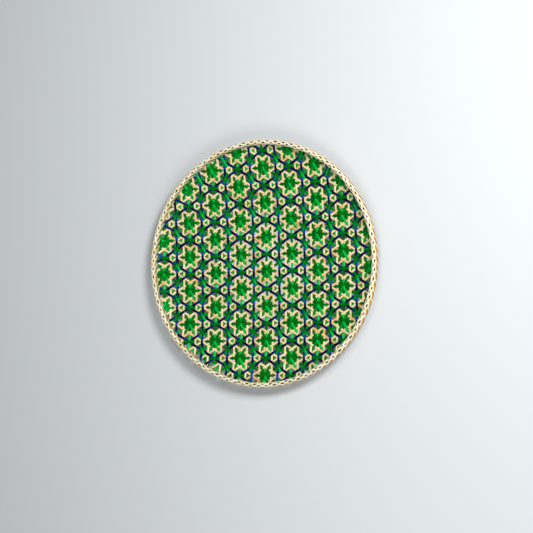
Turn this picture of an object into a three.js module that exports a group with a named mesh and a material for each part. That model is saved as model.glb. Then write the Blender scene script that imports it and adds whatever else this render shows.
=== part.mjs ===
// A round tray plaited from split palm-leaf strips, with a lashed rim.
// Millimetres, +Z up. The origin is the centre of the tray on the surface that it rests on.
//
// The face is a six-way weave. Three families of strips run upright, rising and falling, and in
// each family the colours repeat green, natural, navy, natural. Three more families of green strips
// run level, steeply rising and steeply falling through the middles of the stars. Each family lies
// in its own thin layer here, so that no two strips share space.
import * as THREE from "three";

// Driving dimensions.
const OUTER_RADIUS = 150;
const TOTAL_HEIGHT = 23;
const STAR_PITCH = 42; // from one star to the next along an upright row
const CROSS_SQUEEZE = 0.9375; // the weave is drawn in a little across the upright rows
const STAR_X = 0.8; // the star nearest the centre
const STAR_Y = -9.3;
const STRIP_WIDTH = 2.9;
const STRIP_THICKNESS = 0.25;
const LAYER_PITCH = 0.42;
const CLEARANCE = 0.3;

// The dish: a flat belly, then a gentle curve up to the rim.
const BELLY_RADIUS = 40;
const FACE_RADIUS = 141.3; // where the dish has risen its full DISH_RISE
const DISH_RISE = 10;
const DISH_CURVE = DISH_RISE / (FACE_RADIUS ** 2 - BELLY_RADIUS ** 2);
const STATION = 25; // longest straight run along a curved strip
const FOLD_RADIUS = 144; // where a run of strip turns back
const FOLD_STEP = 3.5; // how far a sharp turn steps aside before it comes back
const LOOSE_END_RADIUS = 140.2;
const LAST_RUN_OFFSET = 136.5;

// The rim, from the outside in.
const EDGING_THICKNESS = 0.7;
const EDGING_INNER_RADIUS = 143.3;
const HOOP_THICKNESS = 1.3;
const HOOP_TOP = 19.4;
const OUTER_HOOP_BOTTOM = 10.6;
const ROD_RADIUS = 1.3;
const ROD_FACETS = 8;
const RIM_SIDES = 64;
const ARCH_STEPS = 6;

const NATURAL = new THREE.MeshStandardMaterial({ color: 0xe9cf9c, roughness: 0.55, metalness: 0 });
const GREEN = new THREE.MeshStandardMaterial({ color: 0x0a8a20, roughness: 0.5, metalness: 0 });
const NAVY = new THREE.MeshStandardMaterial({ color: 0x0a1a5a, roughness: 0.5, metalness: 0 });
const RATTAN = new THREE.MeshStandardMaterial({ color: 0xb98a4e, roughness: 0.6, metalness: 0 });
const EDGING = new THREE.MeshStandardMaterial({ color: 0xf2e3bf, roughness: 0.55, metalness: 0 });

const tray = new THREE.Group();

function add(name, geometry, material) {
  const mesh = new THREE.Mesh(geometry, material);
  mesh.name = name;
  tray.add(mesh);
}

// Height of the dish above its belly.
function dishHeight(x, y) {
  return Math.max(0, DISH_CURVE * (x * x + y * y - BELLY_RADIUS ** 2));
}

// A flat ribbon along a path in plan, with mitred turns, lying on the dish in one layer.
function ribbon(path, layer) {
  const positions = [];
  const faces = [];
  path.forEach((here, i) => {
    const before = here.clone().sub(path[Math.max(i - 1, 0)]);
    const after = path[Math.min(i + 1, path.length - 1)].clone().sub(here);
    const a = (i > 0 ? before : after).normalize();
    const b = (i < path.length - 1 ? after : before).normalize();
    const across = new THREE.Vector2(-a.y - b.y, a.x + b.x).normalize();
    const reach = STRIP_WIDTH / 2 / Math.abs(across.x * -a.y + across.y * a.x);
    for (const [side, lift] of [[-1, 0], [1, 0], [1, STRIP_THICKNESS], [-1, STRIP_THICKNESS]]) {
      const x = here.x + across.x * reach * side;
      const y = here.y + across.y * reach * side;
      positions.push(x, y, dishHeight(x, y) + layer * LAYER_PITCH + lift);
    }
  });
  for (let i = 0; i < path.length - 1; i++) {
    for (let c = 0; c < 4; c++) {
      const low = 4 * i + c;
      const next = 4 * i + ((c + 1) % 4);
      faces.push(low, next, next + 4, low, next + 4, low + 4);
    }
  }
  const end = 4 * (path.length - 1);
  faces.push(0, 2, 1, 0, 3, 2, end, end + 1, end + 2, end, end + 2, end + 3);
  return new THREE.BufferGeometry()
    .setAttribute("position", new THREE.Float32BufferAttribute(positions, 3))
    .setIndex(faces);
}

// Places along a strip where it bends: the edges of the flat belly, then even steps outwards.
function stationsAlong(offset, halfLength) {
  const flat = Math.abs(offset) < BELLY_RADIUS ? Math.sqrt(BELLY_RADIUS ** 2 - offset ** 2) : 0;
  const steps = Math.ceil((halfLength - flat) / STATION);
  const outwards = [];
  for (let i = 1; i <= steps; i++) outwards.push(flat + ((halfLength - flat) * i) / steps);
  const middle = flat > 0 ? [-flat, flat] : [0];
  return [...outwards.map((s) => -s).reverse(), ...middle, ...outwards];
}

// A family of parallel strips: the ideal direction in degrees, the pitch, and the layer.
// Squeezing the weave across turns each line a little and moves the lines closer together.
function family(degrees, pitch, layer) {
  const ideal = THREE.MathUtils.degToRad(degrees);
  const angle = Math.atan2(Math.sin(ideal), Math.cos(ideal) * CROSS_SQUEEZE);
  const spacing = pitch / Math.hypot(Math.sin(ideal) / CROSS_SQUEEZE, Math.cos(ideal));
  const start = -Math.sin(angle) * STAR_X + Math.cos(angle) * STAR_Y;
  const most = Math.ceil((2 * OUTER_RADIUS) / spacing);
  const lines = [];
  for (let k = -most; k <= most; k++) {
    const offset = start + k * spacing;
    if (Math.abs(offset) < LAST_RUN_OFFSET) lines.push({ k, offset });
  }
  return { angle, layer, lines };
}

function turned(path, angle) {
  return path.map((p) => p.clone().rotateAround(new THREE.Vector2(), angle));
}

// The turn from the end of one run to the end of the next, both on the fold circle.
// Where it would double back sharply, the longer run stops short and steps aside first.
function foldBack(fromOffset, toOffset, way) {
  const onCircle = (offset) => new THREE.Vector2(way * Math.sqrt(FOLD_RADIUS ** 2 - offset ** 2), offset);
  const from = onCircle(fromOffset);
  const to = onCircle(toOffset);
  const slant = Math.abs(from.x - to.x) / Math.abs(toOffset - fromOffset);
  if (slant < 0.8) return [from, to];
  if (Math.abs(fromOffset) < Math.abs(toOffset)) {
    const aside = onCircle(fromOffset + FOLD_STEP);
    const half = onCircle((aside.y + toOffset) / 2);
    return [new THREE.Vector2(aside.x - way * 0.6, fromOffset), aside, half, to];
  }
  const aside = onCircle(toOffset - FOLD_STEP);
  const half = onCircle((aside.y + fromOffset) / 2);
  return [from, half, aside, new THREE.Vector2(aside.x - way * 0.6, toOffset)];
}

// One long strip that goes to and fro across the tray, folded back under the rim at each end.
function addFoldedStrip(name, group, wanted, material) {
  const lines = group.lines.filter(wanted);
  const path = [];
  lines.forEach(({ offset }, i) => {
    const way = i % 2 === 0 ? 1 : -1;
    const halfLength = Math.sqrt(FOLD_RADIUS ** 2 - offset ** 2);
    const stations = stationsAlong(offset, halfLength - STRIP_WIDTH).map((s) => s * way);
    const first = i === 0;
    const last = i === lines.length - 1;
    path.push(...stations.slice(first ? 0 : 1, last ? undefined : -1).map((s) => new THREE.Vector2(s, offset)));
    if (!last) path.push(...foldBack(offset, lines[i + 1].offset, way));
  });
  add(name, ribbon(turned(path, group.angle), group.layer), material);
}

// One node for each strip of a colour.
function addLooseStrips(name, group, wanted, material) {
  group.lines.filter(wanted).forEach(({ offset }, i) => {
    const reach = Math.abs(offset) + STRIP_WIDTH / 2;
    const halfLength = Math.sqrt(LOOSE_END_RADIUS ** 2 - reach ** 2);
    const path = stationsAlong(offset, halfLength).map((s) => new THREE.Vector2(s, offset));
    add(name + "_" + (i + 1), ribbon(turned(path, group.angle), group.layer), material);
  });
}

const RAY_PITCH = STAR_PITCH / 2;
const rayFamilies = { level: 0, steep_rising: 60, steep_falling: 120 };
Object.entries(rayFamilies).forEach(([way, degrees], layer) => {
  addFoldedStrip("green_ray_strips_" + way, family(degrees, RAY_PITCH, layer), () => true, GREEN);
});

const WEAVE_PITCH = (STAR_PITCH * Math.sqrt(3)) / 8;
const weaveFamilies = { rising: 30, falling: 150, upright: 90 };
Object.entries(weaveFamilies).forEach(([way, degrees], i) => {
  const group = family(degrees, WEAVE_PITCH, i + 3);
  const place = ({ k }) => ((k % 4) + 4) % 4;
  addFoldedStrip("natural_strips_" + way, group, (line) => place(line) % 2 === 1, NATURAL);
  addLooseStrips("navy_strip_" + way, group, (line) => place(line) === 2, NAVY);
  addLooseStrips("green_strip_" + way, group, (line) => place(line) === 0, GREEN);
});

// A ring with a closed section, given as [radius, height] corners anticlockwise.
function ringOf(section) {
  const profile = section.map(([r, z]) => new THREE.Vector2(r, z));
  profile.push(profile[0].clone());
  const geometry = new THREE.LatheGeometry(profile, RIM_SIDES);
  geometry.rotateX(Math.PI / 2);
  return geometry;
}

function hoop(inner, outer, bottom) {
  return ringOf([[inner, bottom], [outer, bottom], [outer, HOOP_TOP], [inner, HOOP_TOP]]);
}

// The face's edge passes under the inner hoop and stops inside the outer hoop.
const faceTop = 5 * LAYER_PITCH + STRIP_THICKNESS + CLEARANCE;
const innerHoopInner = EDGING_INNER_RADIUS + EDGING_THICKNESS + CLEARANCE;
const innerHoopOuter = innerHoopInner + HOOP_THICKNESS;
const outerHoopOuter = OUTER_RADIUS - EDGING_THICKNESS - CLEARANCE;
const outerHoopInner = outerHoopOuter - HOOP_THICKNESS;
add("inner_hoop", hoop(innerHoopInner, innerHoopOuter, dishHeight(innerHoopOuter, 0) + faceTop), RATTAN);
add("outer_hoop", hoop(outerHoopInner, outerHoopOuter, OUTER_HOOP_BOTTOM), RATTAN);

// The filler rod lies in the groove between the two hoops and rounds the top of the rim.
const grooveHalf = (outerHoopInner - innerHoopOuter) / 2;
const rodCentre = (outerHoopInner + innerHoopOuter) / 2;
const rodHeight = HOOP_TOP + Math.sqrt(ROD_RADIUS ** 2 - grooveHalf ** 2) + 0.1;
const rodSection = Array.from({ length: ROD_FACETS }, (_, i) => {
  const a = ((i + 0.5) / ROD_FACETS) * 2 * Math.PI;
  return [rodCentre + ROD_RADIUS * Math.cos(a), rodHeight + ROD_RADIUS * Math.sin(a)];
});
add("rim_filler_rod", ringOf(rodSection), RATTAN);

// The plaited edging wraps over the rod and down both hoops, and is open underneath.
const edgingMiddle = (EDGING_INNER_RADIUS + OUTER_RADIUS) / 2;
const edgingHalf = (OUTER_RADIUS - EDGING_INNER_RADIUS) / 2;
function arch(half, top) {
  return Array.from({ length: ARCH_STEPS + 1 }, (_, i) => {
    const a = (Math.PI * i) / ARCH_STEPS;
    return [edgingMiddle + half * Math.cos(a), HOOP_TOP + (top - HOOP_TOP) * Math.sin(a)];
  });
}
const edgingSection = [
  [OUTER_RADIUS - EDGING_THICKNESS, OUTER_HOOP_BOTTOM - 1],
  [OUTER_RADIUS, OUTER_HOOP_BOTTOM - 1],
  ...arch(edgingHalf, TOTAL_HEIGHT),
  [EDGING_INNER_RADIUS, dishHeight(innerHoopInner, 0) + faceTop],
  [EDGING_INNER_RADIUS + EDGING_THICKNESS, dishHeight(innerHoopInner, 0) + faceTop],
  ...arch(edgingHalf - EDGING_THICKNESS, TOTAL_HEIGHT - EDGING_THICKNESS).reverse(),
];
add("plaited_edging", ringOf(edgingSection), EDGING);

export default tray;
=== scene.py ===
import math

import bpy
import numpy as np
from mathutils import Matrix, Vector


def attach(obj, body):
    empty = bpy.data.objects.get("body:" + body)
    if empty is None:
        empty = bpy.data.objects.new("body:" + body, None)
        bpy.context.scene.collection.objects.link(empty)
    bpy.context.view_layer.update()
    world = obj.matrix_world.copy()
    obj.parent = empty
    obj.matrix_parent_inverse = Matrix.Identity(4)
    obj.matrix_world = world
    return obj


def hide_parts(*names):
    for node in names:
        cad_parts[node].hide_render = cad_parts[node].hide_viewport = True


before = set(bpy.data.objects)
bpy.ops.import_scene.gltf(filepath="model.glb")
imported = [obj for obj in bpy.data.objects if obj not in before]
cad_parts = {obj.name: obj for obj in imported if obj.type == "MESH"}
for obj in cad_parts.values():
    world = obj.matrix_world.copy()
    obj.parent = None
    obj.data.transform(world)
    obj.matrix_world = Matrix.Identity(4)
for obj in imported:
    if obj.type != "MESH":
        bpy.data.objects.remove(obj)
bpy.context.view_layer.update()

MM = 0.001
rng = np.random.default_rng(7)

# The weave, in millimetres. The lattice and the dish repeat the CAD part's; the strips' widths,
# the turned up edge and the bosses are this model's own.
STAR_PITCH = 42.0
CROSS_SQUEEZE = 0.9375
STAR_X, STAR_Y = 0.8, -9.3
STRIP_WIDTH = 2.75  # that the strips' contacts are worked out for
WIDTH_BY_COLOUR = {"natural": 2.45, "green": 3.15, "navy": 3.1, "ray": 3.2}
BELLY_RADIUS = 40.0
FACE_RADIUS = 141.3
DISH_RISE = 10.0
DISH_CURVE = DISH_RISE / (FACE_RADIUS**2 - BELLY_RADIUS**2)
TURN_UP, TURN_UP_START, TURN_UP_END = 1.8, 132.0, 144.0
LAST_RUN_OFFSET = 136.5  # strips further out have no CAD node of their own
LAST_SEEN_OFFSET = 141.0
STRIP_END_RADIUS = 145.6
MIDDLE_HEIGHT = 1.28  # of the weave's middle surface above the table
BOSS_HEIGHT, BOSS_RADIUS = 1.1, 6.5  # the pile of six strips at a star's centre stands proud

STRIP_HALF_THICK = 0.19
CONTACT_GAP = 0.45  # between the middles of two strips that touch
SAMPLE_STEP = 1.2
ROUNDS = 420  # of the settling of the strips' heights
BEND_STIFFNESS, PULL, DAMPING, PUSH = 0.06, 0.05, 0.9985, 1.9

RAY_WAYS = {"level": 0, "steep_rising": 60, "steep_falling": 120}
WEAVE_WAYS = {"rising": 30, "falling": 150, "upright": 90}
COLOUR_BY_PLACE = ("green", "natural", "navy", "natural")


def dish(x, y):
    """Rise of the weave's middle surface, which turns up a little more where it meets the hoops."""
    r2 = x * x + y * y
    turn_up = np.clip((np.sqrt(r2) - TURN_UP_START) / (TURN_UP_END - TURN_UP_START), 0.0, 1.0)
    return np.maximum(0.0, DISH_CURVE * (r2 - BELLY_RADIUS**2)) + TURN_UP * turn_up**2


# ---------------------------------------------------------------- the strips of the weave
class Strip:
    def __init__(self, way, degrees, colour, k, angle, offset):
        self.way, self.degrees, self.colour, self.k = way, degrees, colour, k
        self.angle, self.offset = angle, offset
        self.half = math.sqrt(STRIP_END_RADIUS**2 - offset**2)
        count = int(2 * self.half / SAMPLE_STEP) + 2
        self.s = np.linspace(-self.half, self.half, count)
        self.d = np.array([math.cos(angle), math.sin(angle)])
        self.n = np.array([-math.sin(angle), math.cos(angle)])


def all_strips():
    strips = []
    for ways, pitch in ((RAY_WAYS, STAR_PITCH / 2), (WEAVE_WAYS, STAR_PITCH * math.sqrt(3) / 8)):
        for way, degrees in ways.items():
            ideal = math.radians(degrees)
            angle = math.atan2(math.sin(ideal), math.cos(ideal) * CROSS_SQUEEZE)
            spacing = pitch / math.hypot(math.sin(ideal) / CROSS_SQUEEZE, math.cos(ideal))
            start = -math.sin(angle) * STAR_X + math.cos(angle) * STAR_Y
            for k in range(-40, 41):
                offset = start + k * spacing
                if abs(offset) < LAST_SEEN_OFFSET:
                    colour = "ray" if ways is RAY_WAYS else COLOUR_BY_PLACE[k % 4]
                    strips.append(Strip(way, degrees, colour, k, angle, offset))
    return strips


def star_distance(x, y):
    """Distance from a point to the nearest star centre, in star pitches."""
    u = (x - STAR_X) / (STAR_PITCH * CROSS_SQUEEZE)
    v = (y - STAR_Y) / STAR_PITCH
    best = 9.0
    row = math.sqrt(3) / 2
    for i in (math.floor(u / row), math.floor(u / row) + 1):
        w = v - 0.5 * (i % 2)
        for j in (math.floor(w), math.floor(w) + 1):
            best = min(best, math.hypot(u - i * row, w - j))
    return best


def bosses(x, y):
    """Height of the boss at the nearest star centre, for arrays of points."""
    row = math.sqrt(3) / 2 * STAR_PITCH * CROSS_SQUEEZE
    u = (x - STAR_X) / row
    v = (y - STAR_Y) / STAR_PITCH
    total = np.zeros_like(x)
    for step in (0, 1):
        i = np.floor(u) + step
        j = np.rint(v - 0.5 * np.mod(i, 2))
        across = (u - i) * row
        along = (v - 0.5 * np.mod(i, 2) - j) * STAR_PITCH
        total = np.maximum(total, np.exp(-(across**2 + along**2) / BOSS_RADIUS**2))
    return BOSS_HEIGHT * total


GREEN_ORDER = ("rising", "falling", "upright")
RAY_ORDER = ("steep_rising", "level", "steep_falling")
OVER_NEXT = {("upright", "rising"), ("rising", "falling"), ("falling", "upright")}


def is_over(a, b, x, y):
    """True if strip a passes over strip b where they cross."""
    kinds = {a.colour, b.colour}
    if len(kinds) == 1:
        if a.colour == "ray":
            return RAY_ORDER.index(a.way) > RAY_ORDER.index(b.way)
        if a.colour == "green":
            return GREEN_ORDER.index(a.way) > GREEN_ORDER.index(b.way)
        return (a.way, b.way) in OVER_NEXT
    square = (a.degrees - b.degrees) % 180 == 90
    if kinds == {"green", "natural"}:
        top = "natural"
    elif kinds == {"green", "navy"}:
        top = "green"
    elif kinds == {"natural", "navy"}:
        top = "navy"
    elif kinds == {"ray", "green"}:
        top = "ray"
    elif kinds == {"ray", "navy"}:
        top = "navy" if square else "ray"
    else:
        top = "ray" if square and star_distance(x, y) < 0.3 else "natural"
    return a.colour == top


def contacts(strips, starts):
    """Pairs of samples where one strip lies over another: (upper, lower, gap)."""
    upper, lower, gaps = [], [], []
    for i, a in enumerate(strips):
        for j in range(i + 1, len(strips)):
            b = strips[j]
            turn = b.angle - a.angle
            if a.way == b.way:
                continue
            sin, cos = math.sin(turn), math.cos(turn)
            sa = (a.offset * cos - b.offset) / sin
            sb = (a.offset - b.offset * cos) / sin
            if abs(sa) > a.half or abs(sb) > b.half:
                continue
            x, y = a.d * sa + a.n * a.offset
            over = is_over(a, b, x, y)
            for first, at_first, second, at_second in ((a, sa, b, sb), (b, sb, a, sa)):
                apart = (first.s - at_first) * sin
                near = np.nonzero(np.abs(apart) < 0.92 * STRIP_WIDTH)[0]
                there = at_second + (first.s[near] - at_first) * cos
                other = np.rint((there + second.half) / (2 * second.half) * (len(second.s) - 1))
                other = np.clip(other, 0, len(second.s) - 1).astype(int)
                aside = np.abs(apart[near]) / STRIP_WIDTH
                gap = CONTACT_GAP * np.clip(1.25 - 0.6 * aside**2, 0, 1)
                first_is_a = first is a
                mine = near + starts[i if first_is_a else j]
                theirs = other + starts[j if first_is_a else i]
                top = over == first_is_a
                upper.append(mine if top else theirs)
                lower.append(theirs if top else mine)
                gaps.append(gap)
    return np.concatenate(upper), np.concatenate(lower), np.concatenate(gaps)


def settle(strips):
    """Heights of every strip about the weave's middle surface, as thin springy strips that press on
    each other where they cross."""
    counts = [len(s.s) for s in strips]
    starts = np.concatenate([[0], np.cumsum(counts)])
    total = starts[-1]
    upper, lower, gaps = contacts(strips, starts)
    left = np.arange(total) - 1
    right = np.arange(total) + 1
    left[starts[:-1]] = starts[:-1]
    right[starts[1:] - 1] = starts[1:] - 1
    touches = np.bincount(upper, minlength=total) + np.bincount(lower, minlength=total)
    share = np.maximum(touches, 1)
    z = np.zeros(total)
    for _ in range(ROUNDS):
        bend = z[left] + z[right] - 2 * z
        z -= BEND_STIFFNESS * (bend[left] + bend[right] - 2 * bend)
        z += PULL * bend
        z *= DAMPING
        for _ in range(2):
            short = np.maximum(gaps - (z[upper] - z[lower]), 0.0) * 0.5
            push = np.bincount(upper, short, total) - np.bincount(lower, short, total)
            z += push / share * PUSH
    return [z[starts[i] : starts[i + 1]] for i in range(len(strips))]


# ---------------------------------------------------------------- ribbons
# The rounded flat section of a split strip: (across, up), each from -1 to 1.
SECTION = (
    (-1.0, -0.35), (-0.84, -0.95), (0.0, -1.0), (0.84, -0.95), (1.0, -0.35),
    (1.0, 0.35), (0.84, 0.95), (0.0, 1.15), (-0.84, 0.95), (-1.0, 0.35),
)  # fmt: skip


class Ribbon:
    """One strip's run, sampled in millimetres: centre line, unit side vectors and half width."""

    def __init__(self, centre, side, half_width, half_thick, tag):
        along = np.gradient(centre, axis=0)
        normal = np.cross(along, side)
        normal /= np.linalg.norm(normal, axis=1)[:, None]
        if normal[:, 2].sum() < 0:
            normal = -normal
        self.centre, self.side, self.normal = centre, side, normal
        self.half_width = np.broadcast_to(half_width, len(centre))
        self.half_thick, self.tag = half_thick, tag
        step = np.linalg.norm(np.diff(centre, axis=0), axis=1)
        self.along = np.concatenate([[0.0], np.cumsum(step)])


def add_attribute(mesh, name, values):
    attribute = mesh.attributes.new(name, "FLOAT_VECTOR", "POINT")
    attribute.data.foreach_set("vector", values.astype(np.float32).reshape(-1))


def build(name, ribbons, material, nodes):
    """One piece of the given ribbons, each a closed tube of the strip's section."""
    verts, grain, across, sizes, loops = [], [], [], [], []
    m = len(SECTION)
    sec = np.array(SECTION)
    base = 0
    for r in ribbons:
        n = len(r.centre)
        width = (r.half_width[:, None] * sec[None, :, 0])[:, :, None]
        thick = (r.half_thick * sec[None, :, 1] * np.ones((n, 1)))[:, :, None]
        pts = r.centre[:, None, :] + width * r.side[:, None, :] + thick * r.normal[:, None, :]
        verts.append(pts.reshape(-1, 3))
        g = np.zeros((n, m, 3))
        g[:, :, 0] = r.along[:, None]
        g[:, :, 1] = r.half_width[:, None] * sec[None, :, 0]
        g[:, :, 2] = r.tag
        grain.append(g.reshape(-1, 3))
        across.append(np.repeat(r.side, m, axis=0))
        rows = np.arange(n - 1)[:, None] * m + base
        c = np.arange(m)[None, :]
        d = (c + 1) % m
        quads = np.stack([rows + c, rows + d, rows + m + d, rows + m + c], axis=2).reshape(-1, 4)
        loops.append(quads.reshape(-1))
        sizes.append(np.full(len(quads), 4))
        loops.append(np.arange(m)[::-1] + base)
        loops.append(np.arange(m) + base + (n - 1) * m)
        sizes.append(np.array([m, m]))
        base += n * m
    verts = np.concatenate(verts) * MM
    loops = np.concatenate(loops)
    sizes = np.concatenate(sizes)
    mesh = bpy.data.meshes.new(name)
    mesh.vertices.add(len(verts))
    mesh.vertices.foreach_set("co", verts.astype(np.float32).reshape(-1))
    mesh.loops.add(len(loops))
    mesh.loops.foreach_set("vertex_index", loops.astype(np.int32))
    mesh.polygons.add(len(sizes))
    mesh.polygons.foreach_set("loop_start", (np.cumsum(sizes) - sizes).astype(np.int32))
    mesh.polygons.foreach_set("loop_total", sizes.astype(np.int32))
    mesh.update(calc_edges=True)
    mesh.validate()
    add_attribute(mesh, "grain", np.concatenate(grain))
    add_attribute(mesh, "across", np.concatenate(across))
    mesh.polygons.foreach_set("use_smooth", np.ones(len(mesh.polygons), bool))
    mesh.materials.append(material)
    piece = bpy.data.objects.new(name, mesh)
    bpy.context.scene.collection.objects.link(piece)
    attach(piece, "root")
    if nodes:
        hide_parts(*nodes)


# ---------------------------------------------------------------- materials
def link(tree, a, b):
    tree.links.new(a, b)


STREAK = 0.5  # share of the fine fibres in a strip's tone
BUMP = 0.3
WHITE = (1.0, 1.0, 1.0)
# darkening of a strip's two edges: painted shade where strips tuck under each other, together with
# darker dye at the cut edges
EDGE_DYE_AND_SHADE = (0.45, 0.45, 0.45)


def strip_material(
    name, colours, roughness, specular, tint=WHITE, ior=1.5, patch=None, edge=EDGE_DYE_AND_SHADE
):
    """Split leaf: long fibres, a colour that drifts along each strip, and a gloss drawn out across
    the fibres. patch is the colour of the riper lengths, and edge darkens a strip's two edges:
    painted shade where strips tuck under their neighbours, together with dye lying darker at the
    cut edges."""
    mat = bpy.data.materials.new(name)
    mat.use_nodes = True
    tree = mat.node_tree
    nodes = tree.nodes
    shader = nodes["Principled BSDF"]
    shader.inputs["Specular IOR Level"].default_value = specular
    shader.inputs["Specular Tint"].default_value = (*tint, 1.0)
    shader.inputs["Anisotropic"].default_value = 1.0
    shader.inputs["IOR"].default_value = ior
    grain = nodes.new("ShaderNodeAttribute")
    grain.attribute_name = "grain"
    across = nodes.new("ShaderNodeAttribute")
    across.attribute_name = "across"
    link(tree, across.outputs["Vector"], shader.inputs["Tangent"])

    def noise(x, y, z, detail=2.0):
        scaled = nodes.new("ShaderNodeVectorMath")
        scaled.operation = "MULTIPLY"
        scaled.inputs[1].default_value = (x, y, z)
        link(tree, grain.outputs["Vector"], scaled.inputs[0])
        node = nodes.new("ShaderNodeTexNoise")
        node.inputs["Scale"].default_value = 1.0
        node.inputs["Detail"].default_value = detail
        link(tree, scaled.outputs[0], node.inputs["Vector"])
        return node.outputs["Fac"]

    def ranged(value, low, high, to_low, to_high):
        node = nodes.new("ShaderNodeMapRange")
        node.inputs["From Min"].default_value = low
        node.inputs["From Max"].default_value = high
        node.inputs["To Min"].default_value = to_low
        node.inputs["To Max"].default_value = to_high
        link(tree, value, node.inputs["Value"])
        return node.outputs["Result"]

    drift = noise(0.07, 0.12, 9.7)
    fibres = noise(0.16, 5.2, 3.3, 4.0)
    tone = nodes.new("ShaderNodeMix")
    tone.data_type = "FLOAT"
    tone.inputs["Factor"].default_value = STREAK
    link(tree, drift, tone.inputs["A"])
    link(tree, fibres, tone.inputs["B"])
    ramp = nodes.new("ShaderNodeValToRGB")
    for _ in range(len(colours) - 2):
        ramp.color_ramp.elements.new(0.5)
    for element, (place, colour) in zip(ramp.color_ramp.elements, colours):
        element.position = place
        element.color = (*colour, 1.0)
    link(tree, tone.outputs["Result"], ramp.inputs["Fac"])
    colour = ramp.outputs["Color"]
    if patch:
        blend = nodes.new("ShaderNodeMix")
        blend.data_type = "RGBA"
        blend.blend_type = "MULTIPLY"
        blend.inputs["B"].default_value = (*patch, 1.0)
        riper = ranged(noise(0.05, 0.05, 17.3, 1.0), 0.56, 0.68, 0.0, 1.0)
        link(tree, riper, blend.inputs["Factor"])
        link(tree, colour, blend.inputs["A"])
        colour = blend.outputs["Result"]
    split = nodes.new("ShaderNodeSeparateXYZ")
    link(tree, grain.outputs["Vector"], split.inputs[0])
    side = nodes.new("ShaderNodeMath")
    side.operation = "ABSOLUTE"
    link(tree, split.outputs["Y"], side.inputs[0])
    # A strip's two edges are darkened: painted shade where strips tuck under each other, together
    # with darker dye at the cut edges.
    edge_dye_and_shade = nodes.new("ShaderNodeMix")
    edge_dye_and_shade.data_type = "RGBA"
    edge_dye_and_shade.blend_type = "MULTIPLY"
    edge_dye_and_shade.inputs["B"].default_value = (*edge, 1.0)
    link(tree, ranged(side.outputs[0], 1.0, 1.35, 0.0, 1.0), edge_dye_and_shade.inputs["Factor"])
    link(tree, colour, edge_dye_and_shade.inputs["A"])
    link(tree, edge_dye_and_shade.outputs["Result"], shader.inputs["Base Color"])
    rough = ranged(fibres, 0.3, 0.7, roughness - 0.05, roughness + 0.08)
    link(tree, rough, shader.inputs["Roughness"])
    relief = nodes.new("ShaderNodeBump")
    relief.inputs["Strength"].default_value = BUMP
    relief.inputs["Distance"].default_value = 0.0002
    link(tree, fibres, relief.inputs["Height"])
    link(tree, relief.outputs["Normal"], shader.inputs["Normal"])
    return mat


natural = strip_material(
    "undyed_leaf",
    ((0.3, (0.50, 0.34, 0.11)), (0.42, (0.80, 0.61, 0.27)),
     (0.55, (0.92, 0.77, 0.42)), (0.7, (1.0, 0.94, 0.70))),
    0.44, 0.8, ior=1.6, patch=(1.0, 0.64, 0.42), edge=(0.80, 0.70, 0.55),
)  # fmt: skip
green = strip_material(
    "green_leaf",
    ((0.3, (0.0, 0.05, 0.0)), (0.5, (0.0, 0.135, 0.001)), (0.7, (0.001, 0.29, 0.006))),
    0.44, 1.0, tint=(0.01, 1.0, 0.15), ior=2.0,
)  # fmt: skip
navy = strip_material(
    "navy_leaf",
    ((0.3, (0.0, 0.0, 0.006)), (0.5, (0.0, 0.0, 0.020)), (0.7, (0.0, 0.002, 0.05))),
    0.40, 1.0, tint=(0.01, 0.22, 1.0), ior=1.75,
)  # fmt: skip
cream = strip_material(
    "pale_leaf",
    ((0.3, (0.60, 0.46, 0.22)), (0.42, (0.88, 0.78, 0.52)),
     (0.55, (0.95, 0.90, 0.70)), (0.7, (1.0, 0.98, 0.88))),
    0.44, 0.8, ior=1.6, patch=(0.95, 0.89, 0.52), edge=(0.70, 0.58, 0.42),
)  # fmt: skip
straw = strip_material(
    "straw_cane",
    ((0.3, (0.20, 0.14, 0.05)), (0.5, (0.46, 0.35, 0.15)), (0.7, (0.72, 0.60, 0.32))),
    0.5, 0.4, edge=WHITE,
)  # fmt: skip
honey = strip_material(
    "honey_cane",
    ((0.3, (0.40, 0.16, 0.025)), (0.5, (0.64, 0.31, 0.06)), (0.7, (0.80, 0.46, 0.13))),
    0.45, 0.5, edge=WHITE,
)  # fmt: skip
# The core's near-black colour is painted shade: the dark hollow seen through the slits between the
# crest's strands.
shaded_core = strip_material(
    "cane_core_painted_shade",
    ((0.3, (0.02, 0.012, 0.005)), (0.5, (0.05, 0.028, 0.010)), (0.7, (0.10, 0.05, 0.02))),
    0.6, 0.2, edge=WHITE,
)  # fmt: skip
MATERIALS = {"natural": natural, "green": green, "navy": navy, "ray": green}

# ---------------------------------------------------------------- the woven face
strips = all_strips()
heights = settle(strips)


def woven_ribbon(strip, height, tag):
    wander = rng.uniform(-0.22, 0.22)
    phase = rng.uniform(0, 2 * math.pi, 3)
    side_step = wander + sum(
        a * np.sin(strip.s * 2 * math.pi / w + p)
        for a, w, p in zip((0.16, 0.10, 0.05), (171.0, 83.0, 31.0), phase)
    )
    x = strip.d[0] * strip.s + strip.n[0] * (strip.offset + side_step)
    y = strip.d[1] * strip.s + strip.n[1] * (strip.offset + side_step)
    z = dish(x, y) + MIDDLE_HEIGHT + height + bosses(x, y)
    centre = np.stack([x, y, z], axis=1)
    step = 0.5
    lean = (dish(x + strip.n[0] * step, y + strip.n[1] * step) - dish(x, y)) / step
    side = np.stack([np.full_like(x, strip.n[0]), np.full_like(x, strip.n[1]), lean], axis=1)
    side /= np.linalg.norm(side, axis=1)[:, None]
    wave = np.sin(strip.s * 2 * math.pi / 47.0 + phase[0] * 2)
    wobble = 1 + 0.05 * wave + rng.uniform(-0.05, 0.05)
    return Ribbon(centre, side, WIDTH_BY_COLOUR[strip.colour] / 2 * wobble, STRIP_HALF_THICK, tag)


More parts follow.
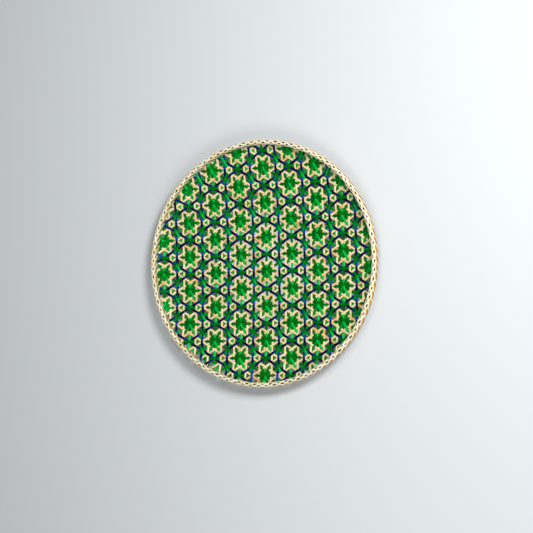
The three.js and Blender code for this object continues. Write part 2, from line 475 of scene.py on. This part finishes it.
pieces = {}
for tag, (strip, height) in enumerate(zip(strips, heights)):
    ribbon = woven_ribbon(strip, height, tag)
    if abs(strip.offset) >= LAST_RUN_OFFSET:
        key = (strip.colour, strip.way, "edge")
    elif strip.colour in ("navy", "green"):
        key = (strip.colour, strip.way, strip.k)
    else:
        key = (strip.colour, strip.way, "all")
    pieces.setdefault(key, []).append(ribbon)

for (colour, way, which), ribbons in sorted(pieces.items(), key=str):
    if which == "edge":
        build(f"{colour}_edge_strip_{way}", ribbons, MATERIALS[colour], [])
    elif which == "all":
        stem = "green_ray_strips" if colour == "ray" else "natural_strips"
        build(f"woven_{stem}_{way}", ribbons, MATERIALS[colour], [f"{stem}_{way}"])
for colour in ("navy", "green"):
    for way in WEAVE_WAYS:
        ks = sorted(k for c, w, k in pieces if c == colour and w == way and k != "edge")
        for i, k in enumerate(ks):
            node = f"{colour}_strip_{way}_{i + 1}"
            ribbons = pieces[(colour, way, k)]
            build("woven_" + node, ribbons, MATERIALS[colour], [node])

# ---------------------------------------------------------------- the rim
RIM_MIDDLE = 146.45
ARCH_HALF, ARCH_RISE, SHOULDER = 2.3, 1.75, 20.55
ARCH_TURN = 0.8  # stitches a strand runs round the rim from the crest's middle to a shoulder
STITCHES = 88
STITCH = 2 * math.pi / STITCHES
LASH_WIDTH = 2.0
WALL_NARROWING = 0.8  # of a strand where it leaves the crest
LASH_HALF_THICK = 0.2
WEAVE_LIFT = 0.3


def smooth_path(points, count):
    """A smooth curve through the given points, evenly sampled."""
    points = np.array(points, float)
    fine = np.linspace(0, len(points) - 1, 400)
    padded = np.concatenate([[2 * points[0] - points[1]], points, [2 * points[-1] - points[-2]]])
    i = np.minimum(fine.astype(int), len(points) - 2)
    f = (fine - i)[:, None]
    p0, p1, p2, p3 = padded[i], padded[i + 1], padded[i + 2], padded[i + 3]
    curve = 0.5 * (2 * p1 + (p2 - p0) * f + (2 * p0 - 5 * p1 + 4 * p2 - p3) * f**2
                   + (3 * p1 - p0 - 3 * p2 + p3) * f**3)
    step = np.linalg.norm(np.diff(curve[:, :2], axis=0), axis=1) + 1e-9
    run = np.concatenate([[0.0], np.cumsum(step)])
    even = np.linspace(0, run[-1], count)
    return np.stack([np.interp(even, run, curve[:, c]) for c in range(curve.shape[1])], axis=1)


def arch_points(way, lift_sign):
    """Radius, height, turn in stitches and lift over the crest, from inner to outer shoulder."""
    out = []
    for i in range(13):
        h = -1 + i / 6
        a = math.pi * (1 - h) / 2
        r = RIM_MIDDLE + ARCH_HALF * math.cos(a)
        z = SHOULDER + ARCH_RISE * math.sin(a)
        lift = lift_sign * WEAVE_LIFT * math.sin(2 * ARCH_TURN * math.pi * h)
        out.append((r, z, way * ARCH_TURN * h, lift))
    return out


def lashing(points, start, tag, jitter):
    """One strand of the edging, along the given path in the rim's section."""
    path = smooth_path(points, 40)
    ahead = np.gradient(path[:, :2], axis=0)
    ahead /= np.linalg.norm(ahead, axis=1)[:, None]
    out_r, out_z = -ahead[:, 1], ahead[:, 0]  # the section's outward normal, left of its travel
    r = path[:, 0] + out_r * path[:, 3]
    z = path[:, 1] + out_z * path[:, 3]
    turn = start + path[:, 2] * STITCH + jitter
    centre = np.stack([r * np.cos(turn), r * np.sin(turn), z], axis=1)
    normal = np.stack([out_r * np.cos(turn), out_r * np.sin(turn), out_z], axis=1)
    along = np.gradient(centre, axis=0)
    along /= np.linalg.norm(along, axis=1)[:, None]
    side = np.cross(normal, along)
    side /= np.linalg.norm(side, axis=1)[:, None]
    on_wall = np.clip((SHOULDER - path[:, 1]) / 3.0, 0.0, 1.0)
    width = LASH_WIDTH / 2 * rng.uniform(0.88, 1.1) * (1 - (1 - WALL_NARROWING) * on_wall)
    ribbon = Ribbon(centre, side, width, LASH_HALF_THICK, tag)
    flip = np.sign((ribbon.normal * normal).sum(axis=1))[:, None]
    ribbon.normal = ribbon.normal * flip
    return ribbon


inner_wall = [
    (144.8, 11.5, -1.56, 0.0), (144.4, 12.7, -1.5, 0.0), (144.0, 13.9, -1.42, 0.0),
    (143.8, 15.3, -1.3, 0.05), (143.85, 17.2, -1.1, 0.1), (144.05, 19.0, -0.93, 0.2),
]  # fmt: skip
outer_wall = [
    (149.05, 19.0, -0.95, 0.3), (149.25, 16.4, -1.18, 0.3), (148.75, 13.2, -1.44, 0.3),
    (147.9, 11.2, -1.58, 0.25), (146.4, 10.3, -1.74, 0.1), (144.7, 10.7, -1.86, 0.0),
    (143.7, 11.6, -1.9, 0.0),
]  # fmt: skip
forward, backward = [], []
for i in range(STITCHES):
    jitter = rng.uniform(-0.09, 0.09) * STITCH
    forward.append(lashing(inner_wall + arch_points(1, 1), i * STITCH, 200 + i, jitter))
    jitter = rng.uniform(-0.09, 0.09) * STITCH
    backward.append(
        lashing(arch_points(-1, -1) + outer_wall, (i + 0.5) * STITCH, 300 + i, jitter)
    )
build("edging_lashing_forward", forward, cream, ["plaited_edging"])
build("edging_lashing_backward", backward, cream, ["plaited_edging"])


def hoop(name, section, material, node, seed):
    """A hoop of split cane with a rounded section, a little uneven along its length."""
    sides = 288
    count = len(section)
    turn = np.arange(sides) * 2 * math.pi / sides
    local = np.random.default_rng(seed)
    phase = local.uniform(0, 6.28, 4)
    uneven = sum(0.06 * np.sin(turn * n + p) for n, p in zip((5, 9, 14, 23), phase))
    verts = []
    grain = []
    for t, w in zip(turn, uneven):
        for i, (r, z) in enumerate(section):
            out = (r + w) * MM
            verts.append((out * math.cos(t), out * math.sin(t), (z + w * 0.5) * MM))
            grain.append((abs(math.pi - t) * 145, z, seed))
    faces = []
    for a in range(sides):
        b = (a + 1) % sides
        for i in range(count):
            j = (i + 1) % count
            faces.append((a * count + i, b * count + i, b * count + j, a * count + j))
    mesh = bpy.data.meshes.new(name)
    mesh.from_pydata(verts, [], faces)
    mesh.validate()
    add_attribute(mesh, "grain", np.array(grain))
    add_attribute(mesh, "across", np.tile((0.0, 0.0, 1.0), (len(verts), 1)))
    mesh.polygons.foreach_set("use_smooth", np.ones(len(mesh.polygons), bool))
    mesh.materials.append(material)
    piece = bpy.data.objects.new(name, mesh)
    bpy.context.scene.collection.objects.link(piece)
    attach(piece, "root")
    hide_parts(node)


inner_section = [
    (144.3, 14.5), (144.6, 14.2), (145.0, 14.3), (145.2, 15.2), (145.25, 18.6), (145.25, 19.9),
    (145.0, 20.3), (144.6, 20.3), (144.3, 19.9), (144.15, 18.6), (144.0, 16.2),
]  # fmt: skip
outer_section = [
    (147.3, 11.2), (147.9, 11.5), (148.6, 13.2), (149.05, 16.0), (149.0, 18.2), (148.8, 19.6),
    (148.4, 20.4), (147.9, 20.5), (147.7, 19.4), (147.7, 16.2), (147.2, 13.6), (146.9, 11.6),
]  # fmt: skip
CORE_RADIUS, CORE_HEIGHT = 0.85, 17.2
core_section = [
    (RIM_MIDDLE + CORE_RADIUS * math.cos(a), CORE_HEIGHT + CORE_RADIUS * math.sin(a))
    for a in np.linspace(0, 2 * math.pi, 13)[:-1]
]
hoop("split_cane_inner_hoop", inner_section, straw, "inner_hoop", 401)
hoop("split_cane_outer_hoop", outer_section, honey, "outer_hoop", 402)
# the core's near-black colour is painted shade for the hollow under the crest
hoop("round_cane_core", core_section, shaded_core, "rim_filler_rod", 403)

# ---------------------------------------------------------------- table, light and camera
floor_mesh = bpy.data.meshes.new("table_top")
floor_mesh.from_pydata([(-4, -4, 0), (4, -4, 0), (4, 4, 0), (-4, 4, 0)], [], [(0, 1, 2, 3)])
floor = bpy.data.objects.new("table_top", floor_mesh)
bpy.context.scene.collection.objects.link(floor)
floor_mat = bpy.data.materials.new("pale_table")
floor_mat.use_nodes = True
floor_shader = floor_mat.node_tree.nodes["Principled BSDF"]
floor_shader.inputs["Base Color"].default_value = (0.68, 0.71, 0.73, 1)
floor_shader.inputs["Roughness"].default_value = 0.7
floor_shader.inputs["Specular IOR Level"].default_value = 0.2
floor_mesh.materials.append(floor_mat)

world = bpy.data.worlds.new("soft_room")
bpy.context.scene.world = world
world.use_nodes = True
world.node_tree.nodes["Background"].inputs["Color"].default_value = (0.95, 0.98, 1.0, 1)
world.node_tree.nodes["Background"].inputs["Strength"].default_value = 0.20


def soft_light(name, at, size, watts):
    data = bpy.data.lights.new(name, "AREA")
    data.shape = "DISK"
    data.size = size
    data.energy = watts
    lamp = bpy.data.objects.new(name, data)
    lamp.location = at
    lamp.rotation_euler = (-Vector(at)).to_track_quat("-Z", "Y").to_euler()
    bpy.context.scene.collection.objects.link(lamp)


soft_light("window", (0.76, 0.42, 0.93), 0.38, 11.9)
soft_light("high_window", (0.30, 0.52, 1.25), 0.3, 2.8)
soft_light("lower_right", (0.48, -0.88, 1.1), 0.8, 7.0)

TO_CAMERA = Vector((0.4145, -0.0535, 0.9085)).normalized()
DISTANCE = 1.659
ROLL = -0.0131
SHIFT_RIGHT, SHIFT_UP = 0.0005, -0.0033  # of the camera in its own picture plane
LENS = 92.06
right0 = Vector((0, 1, 0)).cross(TO_CAMERA).normalized()
up0 = TO_CAMERA.cross(right0)
right = math.cos(ROLL) * right0 + math.sin(ROLL) * up0
up = -math.sin(ROLL) * right0 + math.cos(ROLL) * up0
middle = Vector((0, 0, MIDDLE_HEIGHT * MM))
eye = middle + TO_CAMERA * DISTANCE + right * SHIFT_RIGHT + up * SHIFT_UP
camera_data = bpy.data.cameras.new("camera")
camera_data.lens = LENS
camera_data.sensor_width = 36.0
camera = bpy.data.objects.new("camera", camera_data)
camera.matrix_world = Matrix(
    ((right.x, up.x, TO_CAMERA.x, eye.x), (right.y, up.y, TO_CAMERA.y, eye.y),
     (right.z, up.z, TO_CAMERA.z, eye.z), (0, 0, 0, 1))
)  # fmt: skip
bpy.context.scene.collection.objects.link(camera)
bpy.context.scene.camera = camera
bpy.context.scene.view_settings.view_transform = "Standard"
